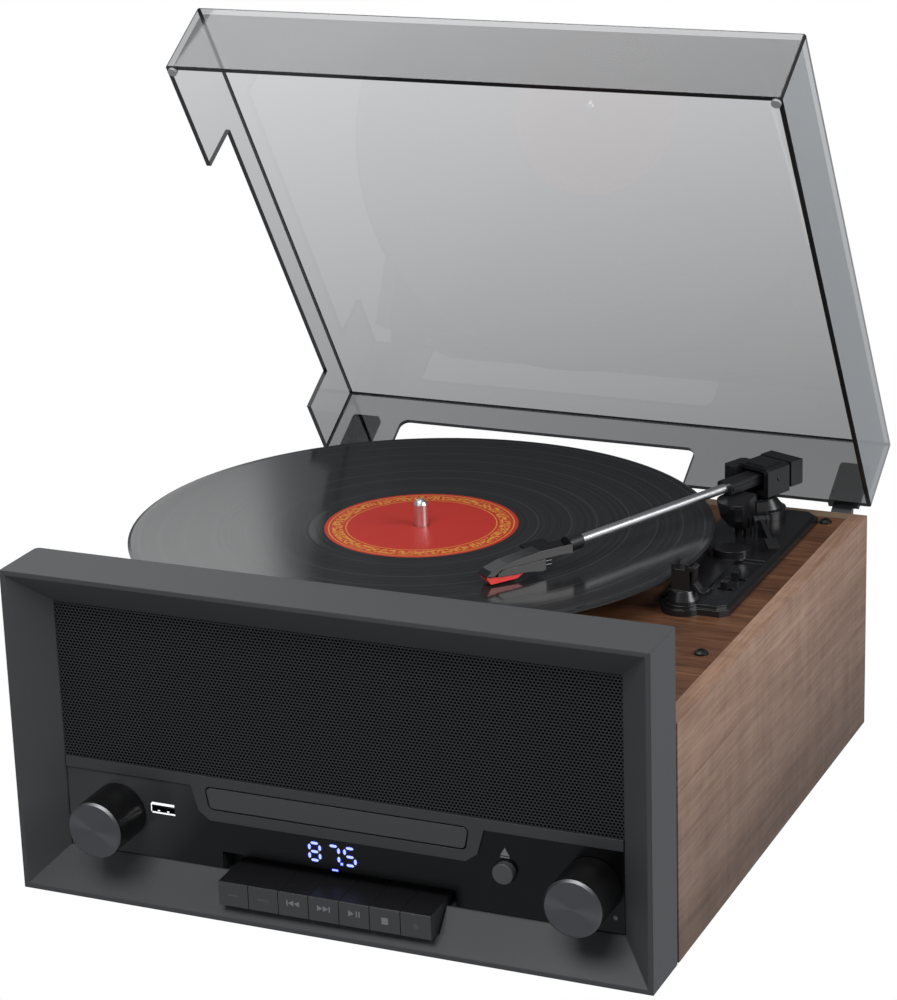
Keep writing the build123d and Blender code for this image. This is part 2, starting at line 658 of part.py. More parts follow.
BELT_Z0 = PLAT_Z0 + 0.3
BELT_Z1 = PLAT_TOP - 3.6
BELT_GAP = 0.08
belt = belt_loop(BELT_GAP + BELT_T, BELT_Z0, BELT_Z1) - belt_loop(BELT_GAP, BELT_Z0 - 1, BELT_Z1 + 1)
save("drive_belt", belt)

# Tonearm base plate
outline = [
    (PIV_X - 11.5, PIV_Y - 125),
    (PIV_X - 11.5, PIV_Y - 63),
    (PIV_X - 21.5, PIV_Y - 41),
    (PIV_X - 21.5, PIV_Y + 11),
    (PIV_X - 17.5, PIV_Y + 15),
    (PIV_X + 22, PIV_Y + 15),
    (PIV_X + 26, PIV_Y + 11),
    (PIV_X + 26, PIV_Y - 134.5),
    (PIV_X + 22, PIV_Y - 138.5),
    (PIV_X + 6.5, PIV_Y - 138.5),
]


def shrink(pts, m):
    cx = PIV_X + 4.5
    cy = PIV_Y - 58.0
    out = []
    for x, y in pts:
        sx = -m if x > cx else m
        sy = -m if y > cy else m
        out.append((x + sx, y + sy))
    return out


plate = prism_z(outline, TOP_Z, TOP_Z + 3.2) + cyl_z(REST_X, REST_Y, 10.8, TOP_Z, TOP_Z + 3.2)
plate += prism_z(shrink(outline, 1.8), TOP_Z, PLATE_Z) + cyl_z(REST_X, REST_Y, 9.2, TOP_Z, PLATE_Z)
plate -= box(PIV_X + 7.5, PIV_X + 22.2, PIV_Y - 114.5, PIV_Y - 67.5, PLATE_Z - 2, PLATE_Z + 1)
SW_SLOTS = {
    "speed_switch": (PIV_X + 15.3, PIV_Y - 92.0, 5.0),
    "autostop_switch": (PIV_X + 14.7, PIV_Y - 107.0, 2.5),
}
for xs, ys, run in SW_SLOTS.values():
    plate -= box(xs - run - 1.4, xs + run + 1.4, ys - 1.5, ys + 1.5, TOP_Z - 1, PLATE_Z)
ledge = cyl_z(PIV_X + 3.0, PIV_Y - 62.0, 9.8, PLATE_Z - 1, PLATE_Z + 4)
plate += ledge & box(PIV_X - 16, PIV_X + 25, PIV_Y - 83, PIV_Y - 58, TOP_Z, TOP_Z + 20)
TURRET_R = 11.5
plate -= cyl_z(PIV_X, PIV_Y, 6.0, TOP_Z - 1, PLATE_Z + 1)
plate -= cyl_z(LIFT_X, LIFT_Y, STEM_R, TOP_Z - 1, PLATE_Z + 1)
# Cue lever bracket: two ears with the lever's axle between them, turned with the lever
LEV_X = PIV_X + 9.1
LEV_Y = PIV_Y - 33.6
LEV_Z = TOP_Z + 14.7
AXLE_R = 1.0


def lever_place(shape):
    return Pos(LEV_X, LEV_Y, 0) * Rot(0, 0, LEV_ANG) * shape


bracket = cyl_x(0, LEV_Z, AXLE_R, -3.0, 3.0)
for ex in (-3.2, 3.2):
    bracket += box(ex - 0.8, ex + 0.8, -2.4, 2.4, PLATE_Z - 0.5, LEV_Z)
    bracket += cyl_x(0, LEV_Z, 2.4, ex - 0.8, ex + 0.8)
bracket += box(-1.5, 4.2, 2.5, 6.0, PLATE_Z - 0.5, LEV_Z + 8.0)
plate += lever_place(bracket)
save("arm_base_plate", plate)

lever = cyl_x(0, LEV_Z, 2.2, -2.1, 2.1)
rod_pts = [(0, LEV_Z + 1.5), (-19, LEV_Z - 4.3), (-19, LEV_Z - 6.3), (0, LEV_Z - 1.3)]
lever += prism_x(rod_pts, -1.1, 1.1)
tab_pts = [(-18, LEV_Z - 4.0), (-25, LEV_Z - 6.0), (-25, LEV_Z - 7.6), (-18, LEV_Z - 6.4)]
lever += prism_x(tab_pts, -3.2, 3.2)
lever -= cyl_x(0, LEV_Z, AXLE_R + RUN, -3, 3)
save("cue_lever", lever_place(lever))

# Speed selector and auto-stop switch caps
for name, (xs, ys, run) in SW_SLOTS.items():
    cap = box(xs - 1.9, xs + 1.9, ys - 2.6, ys + 2.6, PLATE_Z - 1.8, PLATE_Z + 2.6)
    cap = fillet(cap.edges().filter_by(Axis.Z), 0.8)
    cap += box(xs - 1.2, xs + 1.2, ys - 1.3, ys + 1.3, TOP_Z + 0.3, PLATE_Z - 1)
    save(name, cap)

# Arm rest post with a bell foot and a cradle, and its spring clip
foot_of_rest = [(0, 0), (8.0, 0), (8.0, 1.2), (6.2, 6), (0, 6)]
rest = Pos(0, 0, PLATE_Z) * turned(REST_X, REST_Y, foot_of_rest)
REST_TOP = ARM_Z - TUBE_R - 0.4
rest += box(REST_X - 4.5, REST_X + 4.5, REST_Y - 4.0, REST_Y + 4.0, PLATE_Z + 5, REST_TOP)
rest -= box(REST_X - 2.6, REST_X + 2.6, REST_Y - 5, REST_Y + 5, REST_TOP - 3.0, REST_TOP + 1)
CLIP_X = REST_X + 6.1
CLIP_Z = REST_TOP - 2.6
CLIP_PIN_R = 0.7
CLIP_R = 1.4
rest += box(REST_X + 4.0, CLIP_X + 1.2, REST_Y - 4.0, REST_Y - 2.7, CLIP_Z - 1.2, CLIP_Z + 1.2)
rest += cyl_y(CLIP_X, CLIP_Z, CLIP_PIN_R, REST_Y - 3.5, REST_Y + 3.2)
save("arm_rest", rest)
clip_pts = [
    (CLIP_X - 0.7, CLIP_Z),
    (CLIP_X + 0.7, CLIP_Z),
    (CLIP_X + 0.7, PLATE_Z + 9.6),
    (CLIP_X + 3.3, PLATE_Z + 6.2),
    (CLIP_X + 5.8, PLATE_Z + 5.6),
    (CLIP_X + 7.8, PLATE_Z + 6.6),
    (CLIP_X + 8.9, PLATE_Z + 8.6),
    (CLIP_X + 10.1, PLATE_Z + 8.2),
    (CLIP_X + 8.7, PLATE_Z + 5.4),
    (CLIP_X + 6.0, PLATE_Z + 4.0),
    (CLIP_X + 2.5, PLATE_Z + 4.8),
    (CLIP_X - 0.7, PLATE_Z + 9.0),
]
clip = prism_y(clip_pts, REST_Y - 2.5, REST_Y + 3.0)
clip += cyl_y(CLIP_X, CLIP_Z, CLIP_R, REST_Y - 2.5, REST_Y + 3.0)
clip -= cyl_y(CLIP_X, CLIP_Z, CLIP_PIN_R + RUN, REST_Y - 4.0, REST_Y + 4.0)
save("rest_clip", clip)

# Pivot turret
YAW_R = 3.0
turret = turned(
    PIV_X,
    PIV_Y,
    [
        (YAW_R + RUN, PLATE_Z),
        (TURRET_R, PLATE_Z),
        (TURRET_R, PLATE_Z + 5.0),
        (TURRET_R - 1.6, PLATE_Z + 5.8),
        (6.0, PLATE_Z + 11.0),
        (YAW_R + RUN, PLATE_Z + 11.0),
    ],
)
save("pivot_turret", turret)


def arm_place(shape):
    """From arm axes (x along the arm from the pivot, y to its left) to the deck."""
    return Pos(PIV_X, PIV_Y, 0) * Rot(0, 0, ARM_HEAD + 180) * shape


# Pivot housing. In arm axes +x runs to the headshell, +y to the right hand side seen from above
HZ0 = ARM_Z - 8.6
HZ1 = ARM_Z + 4.4
house = box(-8, 9, -10.5, 10.5, HZ0, HZ1 + 2.2)
house -= box(-9, 10, -7.6, 7.6, HZ0 + 2.6, HZ1)
house = chamfer(house.edges().filter_by(Axis.X).group_by(Axis.Z)[-1], 1.2)
house += box(-6, 7, -6.5, 6.5, HZ1 + 1, HZ1 + 3.0)
wing = box(-1, 15.5, -15.5, -7.8, ARM_Z - 2.8, HZ1 + 1.6)
wing = chamfer(wing.edges().filter_by(Axis.Z), 2.0)
house += wing
house += cyl_z(0, 0, YAW_R, PLATE_Z - 4, HZ0 + 1)
house += cyl_z(0, 0, 5.0, PLATE_Z + 11.3, HZ0 + 1)
for sy in (-1, 1):
    y0 = 10.9 * sy
    y1 = 3.6 * sy
    pin = Pos(0, (y0 + y1) / 2, ARM_Z) * Rot(90, 0, 0) * Cylinder(PIVOT_PIN_R, abs(y1 - y0))
    house += pin
save("pivot_housing", arm_place(house))

# Arm tube with its sleeve and collar
tube = Pos((SLEEVE_S - 4 + TUBE_S) / 2, 0, ARM_Z) * Rot(0, 90, 0) * Cylinder(TUBE_R, TUBE_S - SLEEVE_S + 4)
sleeve = box(-9.4, SLEEVE_S, -SLEEVE_HW, SLEEVE_HW, ARM_Z - SLEEVE_HH, ARM_Z + SLEEVE_HH)
sleeve = chamfer(sleeve.edges().filter_by(Axis.X), 0.9)
sleeve += box(13, SLEEVE_S - 1, -SLEEVE_HW - 0.6, SLEEVE_HW + 0.6, ARM_Z - 1.0, ARM_Z + 1.0)
for sy in (-1, 1):
    hole = Pos(0, sy * 4.4, ARM_Z) * Rot(90, 0, 0) * Cylinder(PIVOT_PIN_R + RUN, 2.0)
    sleeve -= hole
collar_mid = (TUBE_S - 4 + SHELL_S + 1) / 2
collar = Pos(collar_mid, 0, ARM_Z) * Rot(0, 90, 0) * Cylinder(COLLAR_R, SHELL_S + 5 - TUBE_S)
tube = tube + sleeve + collar
save("arm_tube", arm_place(tube))

W_BOT = ARM_Z - 7.0
W_TOP = HZ1 + 2.2
top_view = [(-9.4, -10.5), (-18.5, -10.5), (-23, -6), (-23, 6), (-18.5, 10.5), (-9.4, 10.5)]
weight = prism_z(top_view, W_BOT, W_TOP)
side_view = [(-9.4, W_TOP), (-18, W_TOP), (-23, W_TOP - 4), (-23, W_BOT + 4.5), (-18, W_BOT), (-9.4, W_BOT)]
weight &= prism_y(side_view, -11, 11)
save("counterweight", arm_place(weight))


def shell_place(shape):
    """Headshell axes: x forward from the collar, turned inwards by the offset angle."""
    return arm_place(Pos(SHELL_S + 1, 0, 0) * Rot(0, 0, -ARM_OFF) * shape)


SH_TOP = ARM_Z + 1.6
TIP_Z = REC_TOP + 0.3
shell = prism_y(
    [
        (-2.5, SH_TOP),
        (17, SH_TOP - 0.3),
        (36, SH_TOP - 3.2),
        (44.5, SH_TOP - 5.8),
        (47.5, TIP_Z + 5.0),
        (43, TIP_Z + 4.6),
        (39, TIP_Z + 7.3),
        (16, TIP_Z + 8.3),
        (6, TIP_Z + 8.6),
        (-2.5, ARM_Z - 3.2),
    ],
    -4.6,
    4.6,
)
tab_side = [(6, -0.9), (19, -1.6), (19, -2.8), (6, -2.1)]
lift_tab = Pos(0, 0, SH_TOP) * prism_y(tab_side, -13.0, -4.2)
shell += lift_tab
shell = shell_place(shell)
shell -= arm_place(box(SHELL_S - 12, SHELL_S + 1, -20, 20, ARM_Z - 10, ARM_Z + 10))
save("headshell", shell)

cart = prism_y(
    [
        (14, TIP_Z + 8.2),
        (38, TIP_Z + 7.25),
        (41, TIP_Z + 5.0),
        (41, TIP_Z + 3.9),
        (24, TIP_Z + 3.2),
        (16, TIP_Z + 2.0),
        (14, TIP_Z + 2.6),
    ],
    -4.4,
    4.4,
)
for y in (-2.6, 2.6):
    for z in (TIP_Z + 4.4, TIP_Z + 6.4):
        cart += Pos(12.2, y, z) * Rot(0, 90, 0) * Cylinder(0.65, 4.4)
save("cartridge", shell_place(cart))

sty = prism_y(
    [
        (26, TIP_Z + 3.1),
        (40.8, TIP_Z + 3.75),
        (47.2, TIP_Z + 4.3),
        (44.6, TIP_Z + 0.5),
        (30, TIP_Z + 1.0),
    ],
    -3.6,
    3.6,
)
needle = Pos(43.2, 0, TIP_Z + 0.55) * Cone(0.25, 0.7, 1.1, rotation=(0, 0, 0))
sty += needle
save("stylus", shell_place(sty))

# Arm lift platform under the sleeve
LIFT_TOP = ARM_Z - SLEEVE_HH - 0.15
lift = turned(
    LIFT_X,
    LIFT_Y,
    [
        (0, PLATE_Z - 4.5),
        (STEM_R - RUN, PLATE_Z - 4.5),
        (STEM_R - RUN, PLATE_Z + 4.0),
        (6.0, PLATE_Z + 5.5),
        (10.2, PLATE_Z + 10.5),
        (LIFT_R, LIFT_TOP - 2.0),
        (LIFT_R, LIFT_TOP),
        (0, LIFT_TOP),
    ],
)
lift -= box(LIFT_FLAT, LIFT_FLAT + 20, LIFT_Y - 20, LIFT_Y + 20, PLATE_Z + 4.2, LIFT_TOP + 1)
save("lift_platform", lift)

# Lid, drawn closed
LID_FRONT = LID_REAR - LID_L
lid_z1 = LID_Z + LID_H
lid = box(-LID_HW, LID_HW, LID_FRONT, LID_REAR, LID_Z, lid_z1)
lid = fillet(lid.edges().filter_by(Axis.Z) + lid.edges().group_by(Axis.Z)[-1], 1.6)
lid -= box(-LID_HW + LID_T, LID_HW - LID_T, LID_FRONT + LID_T, LID_REAR - LID_T, LID_Z - 1, lid_z1 - LID_T)
notch_y0 = LID_REAR - NOTCH_U1
notch_y1 = LID_REAR - NOTCH_U0
lid -= box(-LID_HW - 1, -LID_HW + LID_T + 1, notch_y0, notch_y1, LID_Z - 1, LID_Z + NOTCH_V)
rear_cut = box(CUT_X0, CUT_X1, LID_REAR - LID_T - 1, LID_REAR + 1, LID_Z - 5, LID_Z + CUT_V)
rear_cut = fillet(rear_cut.edges().filter_by(Axis.Y).group_by(Axis.Z)[-1], 5.0)
lid -= rear_cut


def opened(shape):
    """Turned from closed to the rest pose about the hinge pin."""
    return Pos(0, HINGE_Y, HINGE_Z) * Rot(-LID_OPEN, 0, 0) * Pos(0, -HINGE_Y, -HINGE_Z) * shape


save("lid", opened(lid))
bumps = []
for sx in (-1, 1):
    bumps.append(cyl_z(sx * (LID_HW - 3.4), LID_FRONT + 3.4, 2.4, LID_Z - 1.5, LID_Z + 1.0))
bumper = [b - lid for b in bumps]
save("lid_bumpers", opened(Compound(bumper)))

for side, sx in (("left", -1), ("right", 1)):
    cx = sx * HINGE_X
    leaf = box(cx - LEAF_HW, cx + LEAF_HW, LID_REAR, LID_REAR + 3.6, LID_Z + 0.4, LID_Z + 28.5)
    leaf = chamfer(leaf.edges().filter_by(Axis.Y).group_by(Axis.Z)[-1], 1.2)
    for dx in (-5.0, -2.5, 0.0, 2.5, 5.0):
        leaf += box(cx + dx - 0.6, cx + dx + 0.6, LID_REAR + 3.4, LID_REAR + 4.3, LID_Z + 2, LID_Z + 25)
    neck = prism_x(
        [
            (HINGE_Y - 4.3, HINGE_Z),
            (HINGE_Y - 4.3, LID_Z + 1),
            (LID_REAR + 3.6, LID_Z + 1),
            (HINGE_Y + 4.3, HINGE_Z + 6),
            (HINGE_Y + 4.3, HINGE_Z),
        ],
        cx - 5.4,
        cx + 5.4,
    )
    leaf += neck
    leaf += cyl_x(HINGE_Y, HINGE_Z, KNUCKLE_R, cx - 5.4, cx + 5.4)
    leaf -= cyl_x(HINGE_Y, HINGE_Z, HINGE_PIN_R + RUN, cx - 9, cx + 9)
    save("hinge_leaf_" + side, opened(leaf))
    brk = box(cx - BRACKET_HW, cx + BRACKET_HW, BODY_D, BODY_D + BRACKET_T, TOP_Z - 36, HINGE_Z - 5.6)
    for ex in (-1, 1):
        e0 = cx + ex * 5.8
        e1 = cx + ex * BRACKET_HW
        lo = min(e0, e1)
        hi = max(e0, e1)
        brk += box(lo, hi, BODY_D, BODY_D + BRACKET_T, HINGE_Z - 6.5, TOP_Z - 2.0)
        brk += box(lo, hi, BODY_D, HINGE_Y, HINGE_Z - 4.4, HINGE_Z + 4.4)
        brk += cyl_x(HINGE_Y, HINGE_Z, KNUCKLE_R, lo, hi)
    brk += cyl_x(HINGE_Y, HINGE_Z, HINGE_PIN_R, cx - BRACKET_HW + 0.5, cx + BRACKET_HW - 0.5)
    for z in HSCREW_Z:
        brk += cyl_y(cx, z, HSCREW_R, BODY_D - 6, BODY_D + 1)
        brk += cyl_y(cx, z, 3.0, BODY_D + BRACKET_T - 0.5, BODY_D + BRACKET_T + 1.4)
    save("hinge_bracket_" + side, brk)

lows = [shape.bounding_box().min for shape in parts.values()]
highs = [shape.bounding_box().max for shape in parts.values()]
MID_X = round((min(v.X for v in lows) + max(v.X for v in highs)) / 2, 2)
MID_Y = round((min(v.Y for v in lows) + max(v.Y for v in highs)) / 2, 2)
for name, shape in sorted(parts.items()):
    export_step(Pos(-MID_X, -MID_Y, 0) * shape, "parts/" + name + ".step")
    count = len(shape.solids())
    print(f"{name:22s} solids {count:2d} volume {shape.volume:11.1f}")
print(len(parts), "nodes, moved by", -MID_X, -MID_Y)
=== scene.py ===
"""Looks of the compact music centre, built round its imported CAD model. Metres, row frame."""

import math

import bpy
from mathutils import Matrix, Vector


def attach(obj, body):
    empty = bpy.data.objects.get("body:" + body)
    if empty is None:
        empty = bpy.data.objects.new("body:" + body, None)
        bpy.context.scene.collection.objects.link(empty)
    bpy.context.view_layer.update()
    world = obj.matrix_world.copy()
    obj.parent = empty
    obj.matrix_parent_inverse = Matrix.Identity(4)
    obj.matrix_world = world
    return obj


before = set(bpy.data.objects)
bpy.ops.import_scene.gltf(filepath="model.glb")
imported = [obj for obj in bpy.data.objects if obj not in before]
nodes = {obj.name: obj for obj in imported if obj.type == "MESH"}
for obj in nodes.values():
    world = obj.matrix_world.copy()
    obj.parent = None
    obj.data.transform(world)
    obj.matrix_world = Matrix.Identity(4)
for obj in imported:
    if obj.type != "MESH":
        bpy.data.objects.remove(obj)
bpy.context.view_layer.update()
scene = bpy.context.scene

# Places below count from the middle of the front face, ORIGIN moves them to the row frame
ORIGIN = (0.0124, -0.18617)
FOOT = 0.004

# Record
REC_X = -0.0365
REC_Y = 0.2027
REC_TOP = 0.138
LABEL_R = 0.050
TRACK_GAPS = (0.0605, 0.0775, 0.0905, 0.1075, 0.1215, 0.1345, 0.1455)
TRACK_GAP_HALF = 0.00045

# Tonearm: its pivot, its heading from the X axis and the bare stretch of the tube
PIVOT_X = 0.1155
PIVOT_Y = 0.3030
ARM_HEADING = math.radians(67.1)
TUBE_FROM = 0.0311
TUBE_TO = 0.1389

# Lid: its hinge line and, in the closed lid's directions, its cut edges
HINGE_Y = 0.3389
HINGE_Z = 0.1121
LID_OPEN = math.radians(57.5)
RIM_ABOVE_HINGE = 0.0116
REAR_PAST_HINGE = 0.0053
RIM_REACH = 0.0300
NOTCH_FROM = -0.24
NOTCH_TO = -0.02
SIDE_WALL_X = 0.1588
REAR_CUT_X = 0.14

# Front panel
PANEL_FRONT = 0.016
KNOB_X = {"knob_tuning": -0.1153, "knob_volume": 0.1280}
KNOB_Z = FOOT + 0.0413
CAP_FRONT = -0.0087
CAP_R = 0.01425
HOLE_PITCH_X = 0.00185
HOLE_PITCH_Z = 0.00150
HOLE_HALF = 0.34
KEYS = ("power", "source", "previous", "next", "play", "stop", "record")
KEY_PITCH = 0.0157
KEY_MID_X = 0.0002
KEY_FACE = -0.00104
KEY_MARK_Z = FOOT + 0.0150
DIGITS = (("8", -0.0142), ("7", -0.0044), ("5", 0.0041))
DIGIT_W = 0.0054
DIGIT_H = 0.0087
DIGIT_Z = FOOT + 0.0315
STROKE = 0.0013
GLOW_STROKE = 0.0026
EJECT_X = 0.0854
EJECT_Z = FOOT + 0.0492
USB_X = -0.0919
USB_Z = FOOT + 0.0453
DOT_X = 0.1388
DOT_Z = FOOT + 0.0270

# How far printed marks stand off the faces that they lie on
MARK_OFF = 0.00005
GLOW_OFF = 0.00004
LIT_OFF = 0.00008
SHELL_BEHIND = 0.00025

# Camera: focal length in sensor pixels for a picture of 1000 pixels, place and directions
SENSOR = 36.0
FOCAL_PX = 3037.5
PICTURE_PX = 1000.0
CAM_PLACE = (0.58192, -1.14109, 0.64623)
CAM_FORWARD = (-0.38805, 0.86522, -0.31751)
CAM_RIGHT = (0.91612, 0.39974, -0.03034)


class Tree:
    """A material's node tree with short ways to add nodes."""

    def __init__(self, name):
        self.mat = bpy.data.materials.new(name)
        self.mat.use_nodes = True
        self.t = self.mat.node_tree
        self.t.nodes.clear()
        self.out = self.t.nodes.new("ShaderNodeOutputMaterial")

    def add(self, kind, **props):
        n = self.t.nodes.new(kind)
        for k, v in props.items():
            setattr(n, k, v)
        return n

    def put(self, sock, value):
        if hasattr(value, "is_output"):
            self.t.links.new(value, sock)
        else:
            sock.default_value = value

    def math(self, op, a, b=0.0, c=0.0):
        n = self.add("ShaderNodeMath", operation=op)
        for i, v in enumerate((a, b, c)):
            self.put(n.inputs[i], v)
        return n.outputs[0]

    def scale_add(self, value, factor, rest):
        return self.math("MULTIPLY_ADD", value, factor, rest)

    def both(self, a, b):
        return self.math("MULTIPLY", a, b)

    def near(self, value, centre, half):
        """1 where value lies within half of centre."""
        away = self.math("ABSOLUTE", self.math("SUBTRACT", value, centre))
        return self.math("LESS_THAN", away, half)

    def distance(self, a, b, a0, b0):
        """Distance of the point a, b from a0, b0, with the two offsets."""
        da = self.math("SUBTRACT", a, a0)
        db = self.math("SUBTRACT", b, b0)
        squares = self.math("ADD", self.both(da, da), self.both(db, db))
        return self.math("SQRT", squares), da, db

    def vector(self, x, y=0.0):
        n = self.add("ShaderNodeCombineXYZ")
        self.put(n.inputs[0], x)
        self.put(n.inputs[1], y)
        return n.outputs[0]

    def coords(self):
        n = self.add("ShaderNodeVectorMath", operation="SUBTRACT")
        self.put(n.inputs[0], self.add("ShaderNodeTexCoord").outputs["Object"])
        n.inputs[1].default_value = (*ORIGIN, 0.0)
        return n.outputs[0]

    def split(self, vec):
        n = self.add("ShaderNodeSeparateXYZ")
        self.put(n.inputs[0], vec)
        return n.outputs

    def scaled(self, vec, scale, rot=(0, 0, 0)):
        n = self.add("ShaderNodeMapping")
        self.put(n.inputs[0], vec)
        n.inputs["Scale"].default_value = scale
        n.inputs["Rotation"].default_value = rot
        return n.outputs[0]

    def noise(self, vec, scale=1.0, detail=3.0, rough=0.5, distort=0.0):
        n = self.add("ShaderNodeTexNoise")
        self.put(n.inputs["Vector"], vec)
        n.inputs["Scale"].default_value = scale
        n.inputs["Detail"].default_value = detail
        n.inputs["Roughness"].default_value = rough
        n.inputs["Distortion"].default_value = distort
        return n.outputs[0]

    def ramp(self, fac, stops):
        n = self.add("ShaderNodeValToRGB")
        self.put(n.inputs[0], fac)
        els = n.color_ramp.elements
        while len(els) < len(stops):
            els.new(0.5)
        for el, (pos, col) in zip(els, stops):
            el.position = pos
            el.color = (*col, 1.0)
        return n.outputs[0]

    def mix(self, fac, a, b, blend="MIX"):
        n = self.add("ShaderNodeMix", data_type="RGBA", blend_type=blend)
        self.put(n.inputs[0], fac)
        for sock, v in ((n.inputs[6], a), (n.inputs[7], b)):
            if isinstance(v, tuple):
                v = (*v, 1.0)
            self.put(sock, v)
        return n.outputs[2]

    def bump(self, height, strength, dist, normal=None):
        n = self.add("ShaderNodeBump")
        self.put(n.inputs["Height"], height)
        n.inputs["Strength"].default_value = strength
        n.inputs["Distance"].default_value = dist
        if normal is not None:
            self.put(n.inputs["Normal"], normal)
        return n.outputs[0]

    def soft_edges(self, radius):
        n = self.add("ShaderNodeBevel", samples=4)
        n.inputs[0].default_value = radius
        return n.outputs[0]

    def round_tangent(self, axis):
        return self.add("ShaderNodeTangent", direction_type="RADIAL", axis=axis).outputs[0]

    def bsdf(self, color, rough=0.5, **more):
        n = self.add("ShaderNodeBsdfPrincipled")
        if isinstance(color, tuple):
            color = (*color, 1.0)
        self.put(n.inputs["Base Color"], color)
        self.put(n.inputs["Roughness"], rough)
        for k, v in more.items():
            self.put(n.inputs[k.replace("_", " ")], v)
        return n.outputs[0]

    def blend(self, fac, first, second):
        n = self.add("ShaderNodeMixShader")
        for i, v in enumerate((fac, first, second)):
            self.put(n.inputs[i], v)
        return n.outputs[0]

    def done(self, shader):
        self.t.links.new(shader, self.out.inputs[0])
        return self.mat


def linear(c):
    if c <= 10:
        return c / 255 / 12.92
    return ((c / 255 + 0.055) / 1.055) ** 2.4


def lin(*rgb):
    """Linear colour from sRGB values out of 255."""
    return tuple(linear(c) for c in rgb)


def plain(name, rgb, rough=0.5, edge=0.0, grain=0.0, **more):
    """One colour, with edges softened over the radius edge and a fine grain of that strength."""
    t = Tree(name)
    normal = t.soft_edges(edge) if edge else None
    if grain:
        normal = t.bump(t.noise(t.coords(), 2200, 2), grain, 0.0001, normal)
    if normal is not None:
        more["Normal"] = normal
    return t.done(t.bsdf(lin(*rgb), rough, **more))


def glowing(name, rgb, strength):
    t = Tree(name)
    n = t.add("ShaderNodeEmission")
    n.inputs["Color"].default_value = (*rgb, 1.0)
    n.inputs["Strength"].default_value = strength
    return t.done(n.outputs[0])


def use(mat, *names):
    for n in names:
        me = nodes[n].data
        me.materials.clear()
        me.materials.append(mat)
        for p in me.polygons:
            p.material_index = 0


def wood(name, tones, grain, ripple_mm, pit=0.8, low_shade=1.0, rough=0.45):
    """Fibres run along the axis grain, ripples cross them, and a given factor darkens the panel's
    lower end as painted shade, its upper end painted slightly lighter.
    """
    t = Tree(name)
    co = t.coords()

    def stretched(across, along):
        scale = [across] * 3
        scale[grain] = along
        return scale

    fibres = t.noise(t.scaled(co, stretched(420.0, 9.0)), 1.0, 4, 0.6, 0.4)
    stripes = t.noise(t.scaled(co, stretched(26.0, 3.2)), 1.0, 3, 0.5, 1.2)
    pores = t.noise(t.scaled(co, stretched(900.0, 45.0)), 1.0, 2, 0.5)
    ripple_scale = stretched(16.0, 1000.0 / ripple_mm)
    ripples = t.noise(t.scaled(co, ripple_scale, (0.06, 0.05, 0.06)), 1.0, 2, 0.5, 0.6)
    figure = t.scale_add(stripes, 0.42, t.both(ripples, 0.22))
    figure = t.scale_add(fibres, 0.42, figure)
    color = t.ramp(figure, list(zip((0.34, 0.50, 0.68), tones)))
    pits = t.ramp(pores, [(0.40, (0.55, 0.5, 0.46)), (0.52, (1, 1, 1))])
    color = t.mix(pit, color, pits, "MULTIPLY")
    # Painted shade: darker towards the panel's lower end, slightly lighter towards its top.
    height = t.both(t.split(co)[2], 8.5)
    painted_shade_fall = t.ramp(height, [(0.05, (low_shade, low_shade, low_shade)), (0.95, (1.05, 1.05, 1.05))])
    color = t.mix(1.0, color, painted_shade_fall, "MULTIPLY")
    normal = t.bump(pores, 0.10, 0.0002)
    return t.done(t.bsdf(color, rough, Normal=normal, Specular_IOR_Level=0.35))


def inlay_gloss():
    """Near black, paler towards the left end as in the photo."""
    t = Tree("inlay_gloss")
    x, y, z = t.split(t.coords())
    # Painted reflection: the colour runs from dark grey at the left end and higher up to near black
    # further right.
    along = t.scale_add(x, 7.0, t.scale_add(z, -5.0, 1.30))
    tones = [
        (0.0, lin(52, 53, 55)),
        (0.22, lin(62, 63, 65)),
        (0.60, lin(10, 10, 11)),
        (1.0, lin(5, 5, 6)),
    ]
    color = t.ramp(along, tones)
    return t.done(t.bsdf(color, 0.22, Specular_IOR_Level=0.25, Normal=t.soft_edges(0.0003)))


def key_plastic():
    """Grey fronts, and tops darkened to nearly black as painted shade."""
    t = Tree("key_plastic")
    normal = t.add("ShaderNodeNewGeometry").outputs["True Normal"]
    # Painted shade: faces pointing up take the near black colour.
    painted_shade_top = t.math("GREATER_THAN", t.split(normal)[2], 0.5)
    color = t.mix(painted_shade_top, lin(52, 53, 55), lin(20, 20, 22))
    return t.done(t.bsdf(color, 0.4, Normal=t.soft_edges(0.0004)))


def grille_perforated():
    """Rows of small rounded holes, each row shifted by half a pitch."""
    t = Tree("grille_perforated")
    x, y, z = t.split(t.coords())
    row = t.math("FLOOR", t.math("DIVIDE", z, HOLE_PITCH_Z))
    shift = t.both(t.math("FLOORED_MODULO", row, 2.0), 0.5)
    column = t.math("ADD", t.math("DIVIDE", x, HOLE_PITCH_X), shift)
    terms = []
    for place in (column, t.math("DIVIDE", z, HOLE_PITCH_Z)):
        off = t.math("SUBTRACT", t.math("FRACT", place), 0.5)
        share = t.math("ABSOLUTE", t.math("DIVIDE", off, HOLE_HALF))
        terms.append(t.math("POWER", share, 3.0))
    solid = t.math("GREATER_THAN", t.math("ADD", *terms), 1.0)
    color = t.mix(solid, lin(3, 3, 4), lin(38, 38, 41))
    return t.done(t.bsdf(color, 0.45, Specular_IOR_Level=t.both(solid, 0.35)))


